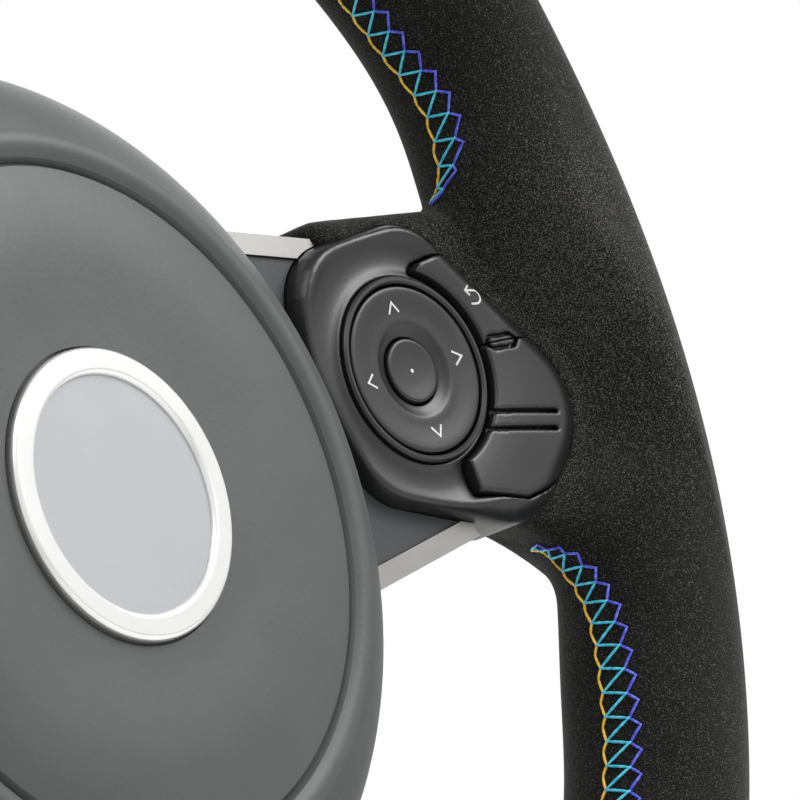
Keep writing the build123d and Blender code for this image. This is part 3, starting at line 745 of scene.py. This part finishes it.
class WHEEL_OT_stitching(bpy.types.Operator):
    """Three-colour cross-stitching on the inside of the rim."""
    bl_idname = "wheel.stitching"
    bl_label = "Stitching"

    def execute(self, context):
        settings = context.scene.wheel_stitch
        pitch = settings.pitch / MM
        lift = settings.lift / MM
        runs = {"yellow": [], "cyan": [], "blue": []}
        for table in (SEAM_UPPER, SEAM_LOWER):
            seam = seam_points(table, pitch)
            start = np.arange(seam[3]) * pitch
            inner = seam_place(seam, start, -11.0)
            bulge = seam_place(seam, start + 0.4 * pitch, -13.5)
            inner_next = seam_place(seam, start + pitch, -11.0)
            middle = seam_place(seam, start + 0.2 * pitch, 4.5)
            middle_next = seam_place(seam, start + 1.2 * pitch, 4.5)
            tip = seam_place(seam, start + 0.5 * pitch, 11.5)
            runs["yellow"] += [(inner, bulge), (bulge, inner_next)]
            runs["cyan"] += [(inner, middle), (middle, inner_next)]
            runs["blue"] += [(middle, tip), (tip, middle_next)]
        template = bpy.data.objects.new("stitch", stitch_mesh(settings.thread))
        tree, pick, cloth = stitch_tree("stitch_layer")
        for colour, pairs in runs.items():
            a = np.concatenate([pair[0] for pair in pairs])
            b = np.concatenate([pair[1] for pair in pairs])
            self.lay(context, colour, a, b, lift, template, tree, pick, cloth)
        bpy.data.objects.remove(template)
        return {"FINISHED"}

    def lay(self, context, colour, a, b, lift, template, tree, pick, cloth):
        """One thread colour, both halves of the wheel."""
        up = field_slope((a + b) / 2)
        up /= np.linalg.norm(up, axis=1)[:, None]
        middle = settle((a + b) / 2) + up * lift
        for flip in (1, -1):
            points, turns, lengths = [], [], []
            for k in range(len(a)):
                mirror = Vector((flip, 1, 1))
                way = Vector(b[k] - a[k]) * mirror
                normal = Vector(up[k]) * mirror
                side = normal.cross(way).normalized()
                x_axis = way.normalized()
                z_axis = x_axis.cross(side)
                rotation = Matrix((x_axis, side, z_axis)).transposed().to_quaternion()
                points.append(Vector(middle[k]) * mirror * MM - Vector((0, DISH_MM * MM, 0)))
                turns += list(rotation)
                lengths.append(way.length * MM * 1.1)
            mesh = bpy.data.meshes.new("stitch_points")
            mesh.from_pydata(points, [], [])
            mesh.attributes.new("turn", "QUATERNION", "POINT").data.foreach_set("value", turns)
            mesh.attributes.new("length", "FLOAT", "POINT").data.foreach_set("value", lengths)
            base = bpy.data.objects.new("stitch_points", mesh)
            context.scene.collection.objects.link(base)
            layer = base.modifiers.new("stitches", "NODES")
            layer.node_group = tree
            layer[pick] = template
            layer[cloth] = MATERIALS[colour]
            graph = context.evaluated_depsgraph_get()
            made = bpy.data.meshes.new_from_object(base.evaluated_get(graph))
            bpy.data.objects.remove(base)
            word = "right" if flip == 1 else "left"
            obj = bpy.data.objects.new(f"{colour}_stitching_{word}", made)
            context.scene.collection.objects.link(obj)
            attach(obj, "wheel")


class WHEEL_OT_horn_pad(bpy.types.Operator):
    """Horn pad, emblem and the airbag parts behind it."""
    bl_idname = "wheel.horn_pad"
    bl_label = "Horn pad"

    def execute(self, context):
        paint("horn_pad", "pad")
        paint("emblem_base", "field")
        paint("emblem_ring", "plating")
        paint("airbag_housing", "pressed")
        paint("inflator", "pressed")
        paint("airbag_cushion", "cushion")
        for number in (1, 2, 3):
            paint(f"guide_pin_{number}", "zinc")
            paint(f"horn_spring_{number}", "spring")
            self.coil(number)
        return {"FINISHED"}

    def coil(self, number):
        """Copy of the spring between the cast frame and the horn module, in place of its solid."""
        node = f"horn_spring_{number}"
        spring = bpy.data.objects.new(f"coil_spring_{number}", NODES[node].data.copy())
        bpy.context.scene.collection.objects.link(spring)
        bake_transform(spring)
        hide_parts(node)


class WHEEL_OT_spokes(bpy.types.Operator):
    """Spoke trim, hub and rear shroud."""
    bl_idname = "wheel.spokes"
    bl_label = "Spokes and hub"

    def execute(self, context):
        for word in ("right", "left", "lower"):
            paint(f"spoke_bezel_{word}", "silver")
            paint(f"spoke_panel_{word}", "inlay")
        paint("armature", "alloy")
        paint("hub_boss", "steel")
        paint("rear_cover", "shell")
        for number in (1, 2, 3):
            paint(f"rear_screw_{number}", "zinc")
        return {"FINISHED"}


def band(points, width):
    """Flat strip along a line of points, as corners and quads."""
    pts = [np.array(p, float) for p in points]
    verts, faces = [], []
    for i, p in enumerate(pts):
        before = pts[i] - pts[i - 1] if i else pts[1] - pts[0]
        after = pts[i + 1] - pts[i] if i + 1 < len(pts) else before
        before, after = before / np.linalg.norm(before), after / np.linalg.norm(after)
        way = (before + after) / np.linalg.norm(before + after)
        across = np.array((-way[1], way[0])) * width / 2 / max(0.5, float(way @ before))
        verts += [p + across, p - across]
    for i in range(len(pts) - 1):
        faces.append((2 * i, 2 * i + 1, 2 * i + 3, 2 * i + 2))
    return verts, faces


def disc(radius, sides=20):
    """Flat disc as corners and one face."""
    angles = [2 * math.pi * k / sides for k in range(sides)]
    verts = [np.array((radius * math.cos(a), radius * math.sin(a))) for a in angles]
    return verts, [tuple(range(sides))]


def lathe(profile, closed, sides=144):
    """Turned form about the pod's axis, from a profile that goes up its outside and in across its top."""
    verts, rings, faces = [], [], []
    for radius, height in profile:
        count = sides if radius else 1
        rings.append([len(verts) + k % count for k in range(sides)])
        for k in range(count):
            angle = 2 * math.pi * k / sides
            verts.append((radius * math.cos(angle), radius * math.sin(angle), height))
    pairs = list(zip(rings, rings[1:]))
    if closed:
        pairs.append((rings[-1], rings[0]))
    for lower, upper in pairs:
        for k in range(sides):
            after = (k + 1) % sides
            corners = [lower[k], lower[after], upper[after], upper[k]]
            faces.append(list(dict.fromkeys(corners)))
    return np.array(verts, float), faces


def chevrons(ring, half, stroke):
    """Four arrow heads that point outwards, at a radius."""
    marks = []
    for k in range(4):
        angle = math.pi / 2 * k + math.radians(2.5)
        way = np.array((math.cos(angle), math.sin(angle)))
        across = np.array((-way[1], way[0]))
        foot = way * (ring - half * 0.75)
        marks.append(band([foot + across * half, way * (ring + half * 0.75), foot - across * half], stroke))
    return marks


def return_arrow(stroke):
    """Arrow that bends back on itself."""
    hook = [(-1.9, 1.0), (0.4, 1.0)]
    for a in np.linspace(0.15, math.pi, 9):
        hook.append((0.4 + ARROW_BEND_MM * math.sin(a), -0.35 + ARROW_BEND_MM * math.cos(a)))
    hook.append((-0.9, -1.7))
    c, s = math.cos(ARROW_TURN), math.sin(ARROW_TURN)
    spin = np.array(((c, -s), (s, c)))
    place = np.array(ARROW_PLACE)
    return [band([place + spin @ np.array(p) for p in line], stroke) for line in (hook, ARROW_HEAD)]


class WHEEL_OT_switches(bpy.types.Operator):
    """Switch pods and their printed marks."""
    bl_idname = "wheel.switches"
    bl_label = "Switch pods"

    def execute(self, context):
        settings = context.scene.wheel_switch
        stroke = settings.stroke / MM
        arrows = chevrons(settings.ring / MM, settings.chevron / MM, stroke)
        shell, button, panel = self.mould(settings.cell / MM)
        pad = lathe(PAD_PROFILE, True)
        key = lathe(KEY_PROFILE, False)
        for side, word in ((1, "right"), (-1, "left")):
            nav_body, enter_body, back_body = f"nav_pad_{word}", f"enter_{word}", f"back_{word}"
            pad_piece = self.piece("four_way_pad", "nav_pad", nav_body, pad, side, word)
            key_piece = self.piece("centre_key", "enter_button", enter_body, key, side, word)
            self.piece("switch_shell", "switch_housing", "wheel", shell, side, word)
            button_piece = self.piece("return_button", "back_button", back_body, button, side, word)
            self.piece("blank_panel", "switch_blank", "wheel", panel, side, word)
            paint(f"switch_bezel_{word}", "switch")
            paint(f"switch_base_{word}", "switch")
            paint(f"nav_gimbal_{word}", "shell")
            paint(f"switch_board_{word}", "board")
            paint(f"dome_mat_{word}", "rubber")
            self.stamp(f"pad_chevrons_{word}", arrows, pad_piece, nav_body, side)
            self.stamp(f"centre_dot_{word}", [disc(DOT_MM)], key_piece, enter_body, side)
            self.stamp(f"return_arrow_{word}", return_arrow(stroke), button_piece, back_body, side)
        return {"FINISHED"}

    def mould(self, step):
        """Meshes of the pod's shell, return button and blank panel, in pod millimetres."""
        low = np.array([-27.0, -40.0, -16.0])
        high = np.array([50.0, 33.0, 3.2])
        u, v, w = sample_grid(low, high, step)
        fields = pod_fields(u.ravel(), v.ravel(), w.ravel())
        return [surface_net(field.reshape(u.shape), low, step) for field in fields]

    def piece(self, name, node, body, shape, side, word):
        """One moulded piece in place of its solid."""
        verts, faces = shape
        placed = from_pod(*verts.T, side)
        turned = faces if side == 1 else [face[::-1] for face in faces]
        obj = mesh_object(f"{name}_{word}", placed, turned, MATERIALS["switch"])
        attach(obj, body)
        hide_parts(f"{node}_{word}")
        return obj

    def stamp(self, name, marks, solid, body, side):
        """Printed marks laid on a piece's face along the pod's normal."""
        corners = [solid.matrix_world @ vert.co for vert in solid.data.vertices]
        tree = BVHTree.FromPolygons(corners, [tuple(face.vertices) for face in solid.data.polygons])
        down = Vector(from_pod(0, 0, -1, side) - from_pod(0, 0, 0, side)).normalized()
        verts, faces = [], []
        for flat, quads in marks:
            first = len(verts)
            for u, v in flat:
                spot = tree.ray_cast(Vector(from_pod(u, v, 8, side)), down)[0]
                if spot is None:
                    spot = Vector(from_pod(u, v, 0, side))
                verts.append(spot - down * PRINT_LIFT)
            for quad in quads:
                faces.append([first + k for k in (quad if side == 1 else quad[::-1])])
        obj = mesh_object(name, verts, faces, MATERIALS["print"], smooth=False)
        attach(obj, body)


class WHEEL_OT_stage(bpy.types.Operator):
    """Pale floor, soft studio light and the camera."""
    bl_idname = "wheel.stage"
    bl_label = "Stage"

    def execute(self, context):
        settings = context.scene.wheel_stage
        context.scene.view_settings.view_transform = "Standard"
        mat, tree, shader, coords = new_material("pale_floor", "f4f4f2", 0.8)
        vary_colour(tree, shader, coords, 3.0, "f2f2f0", "f6f6f4")
        signs = ((-1, -1), (1, -1), (1, 1), (-1, 1))
        corners = [(x * FLOOR_HALF, y * FLOOR_HALF, settings.floor) for x, y in signs]
        floor = mesh_object("floor", corners, [(0, 1, 2, 3)], mat)
        self.sky(context.scene, settings.shade)
        for lamp in LAMPS:
            self.light(*lamp)
        self.camera(context.scene, settings.lens)
        return {"FINISHED"}

    def sky(self, scene, shade):
        """Room that is bright on one side, and plain white where the camera or a reflection sees it."""
        world = bpy.data.worlds.new("studio")
        scene.world = world
        world.use_nodes = True
        tree = world.node_tree
        back = tree.nodes["Background"]
        back.inputs["Color"].default_value = (1, 1, 1, 1)
        ray = add_node(tree, "ShaderNodeTexCoord").outputs["Generated"]
        along = add_node(tree, "ShaderNodeVectorMath", {0: ray}, operation="DOT_PRODUCT")
        along.inputs[1].default_value = Vector(BRIGHT_SIDE).normalized()
        soft = add_node(tree, "ShaderNodeMapRange", {"Value": along.outputs["Value"]},
                        From_Min=-0.6, From_Max=0.6, To_Min=shade, To_Max=1.0)
        path = add_node(tree, "ShaderNodeLightPath")
        shown = soft.outputs["Result"]
        for kind in ("Is Camera Ray", "Is Glossy Ray", "Is Transmission Ray"):
            wider = add_node(tree, "ShaderNodeMath", {0: shown, 1: path.outputs[kind]}, operation="MAXIMUM")
            shown = wider.outputs["Value"]
        tree.links.new(shown, back.inputs["Strength"])

    def camera(self, scene, lens):
        """Camera where the photograph was taken from."""
        yaw, pitch, roll = CAMERA_TURN
        look = Vector((math.sin(yaw) * math.cos(pitch), math.cos(yaw) * math.cos(pitch), math.sin(pitch)))
        right = Vector((math.cos(yaw), -math.sin(yaw), 0))
        up = right.cross(look)
        across = math.cos(roll) * right + math.sin(roll) * up
        upward = -math.sin(roll) * right + math.cos(roll) * up
        data = bpy.data.cameras.new("camera")
        data.sensor_width = 36
        data.sensor_fit = "HORIZONTAL"
        data.lens = lens
        data.clip_start = 0.01
        camera = bpy.data.objects.new("camera", data)
        turn = Matrix((across, upward, -look)).transposed().to_4x4()
        camera.matrix_world = Matrix.Translation(CAMERA_PLACE) @ turn
        scene.collection.objects.link(camera)
        scene.camera = camera

    def light(self, name, place, aim, size, power):
        """Square soft light turned to a point."""
        data = bpy.data.lights.new(name, "AREA")
        data.size = size
        data.energy = power
        lamp = bpy.data.objects.new(name, data)
        lamp.location = place
        lamp.rotation_euler = (Vector(aim) - Vector(place)).to_track_quat("-Z", "Y").to_euler()
        bpy.context.scene.collection.objects.link(lamp)


class WHEEL_PT_panel(bpy.types.Panel):
    """Sizes of the wheel's surfaces."""
    bl_idname = "WHEEL_PT_panel"
    bl_label = "Steering wheel"
    bl_space_type = "VIEW_3D"
    bl_region_type = "UI"
    bl_category = "Wheel"

    def draw(self, context):
        scene = context.scene
        for group in (scene.wheel_rim, scene.wheel_stitch, scene.wheel_switch, scene.wheel_stage):
            box = self.layout.box()
            for key in group.__annotations__:
                box.prop(group, key)


GROUPS = {
    "wheel_rim": WheelRimSettings,
    "wheel_stitch": WheelStitchSettings,
    "wheel_switch": WheelSwitchSettings,
    "wheel_stage": WheelStageSettings,
}
OPERATORS = [
    WHEEL_OT_materials, WHEEL_OT_rim, WHEEL_OT_stitching, WHEEL_OT_horn_pad, WHEEL_OT_spokes,
    WHEEL_OT_switches, WHEEL_OT_stage,
]


def register():
    for name, group in GROUPS.items():
        bpy.utils.register_class(group)
        setattr(bpy.types.Scene, name, bpy.props.PointerProperty(type=group))
    for operator in OPERATORS:
        bpy.utils.register_class(operator)
    bpy.utils.register_class(WHEEL_PT_panel)


def unregister():
    bpy.utils.unregister_class(WHEEL_PT_panel)
    for operator in reversed(OPERATORS):
        bpy.utils.unregister_class(operator)
    for name, group in GROUPS.items():
        delattr(bpy.types.Scene, name)
        bpy.utils.unregister_class(group)


def main():
    register()
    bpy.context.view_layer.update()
    bpy.ops.wheel.materials()
    bpy.ops.wheel.rim()
    bpy.ops.wheel.stitching()
    bpy.ops.wheel.horn_pad()
    bpy.ops.wheel.spokes()
    bpy.ops.wheel.switches()
    bpy.ops.wheel.stage()


if __name__ == "__main__":
    main()
